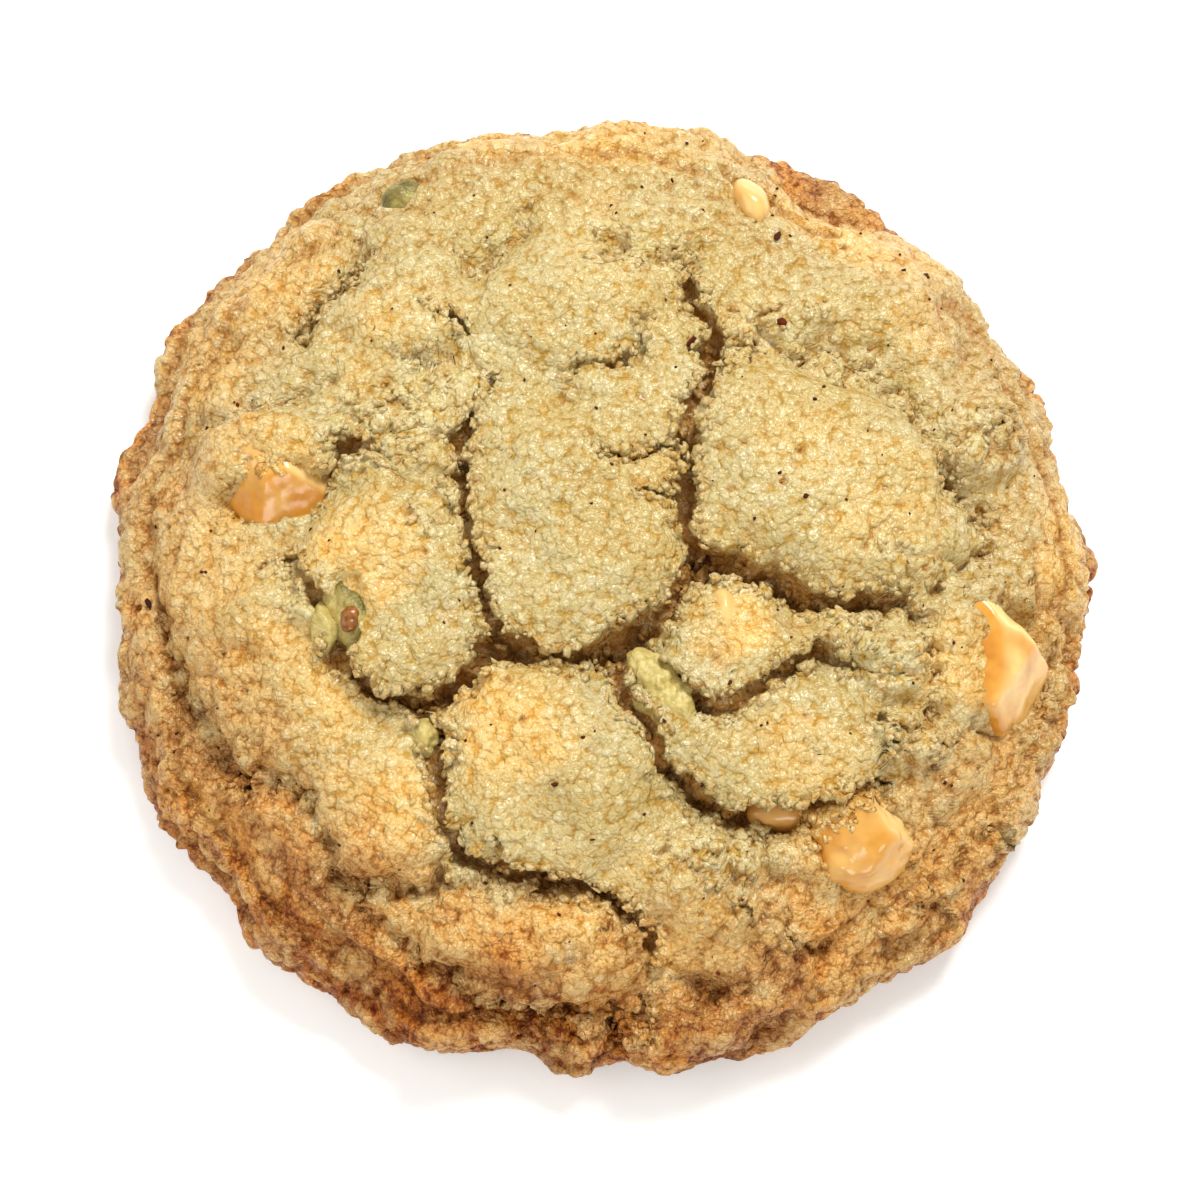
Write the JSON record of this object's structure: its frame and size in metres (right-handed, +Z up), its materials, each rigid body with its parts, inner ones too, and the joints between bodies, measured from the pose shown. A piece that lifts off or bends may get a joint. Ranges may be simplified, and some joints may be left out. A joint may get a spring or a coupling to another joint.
{
  "type": "pistachio cookie",
  "caption": "Thick round drop cookie with a cracked crumbly crust, a browned foot, white chocolate chunks and pieces of pistachio.",
  "frame": {"origin": "middle of the flat underside", "axes": "+Z up through the crown, -Y towards the lower edge of the picture, +X to its right"},
  "size_m": [0.0891, 0.0898, 0.0191],
  "materials": {
    "dough": "baked crumbly crust, pale yellow on the plates, golden on the high places and brown at the foot",
    "white_chocolate": "smooth and waxy, cream where it is bare and caramel where the oven browned it",
    "pistachio": "pale green cut nut, darker green at its outside",
    "nut_skin": "thin glossy reddish-brown skin"
  },
  "bodies": {
    "root": {"dough": "dough", "white_chocolate_right": "white_chocolate", "white_chocolate_left": "white_chocolate", "white_chocolate_lower_right": "white_chocolate", "white_chocolate_top": "white_chocolate", "white_chocolate_in_crack": "white_chocolate", "white_chocolate_middle": "white_chocolate", "pistachio_left": "pistachio", "pistachio_left_slice": "pistachio", "pistachio_middle": "pistachio", "pistachio_lower_left": "pistachio", "pistachio_top": "pistachio", "pistachio_skin": "nut_skin"}
  },
  "joints": []
}
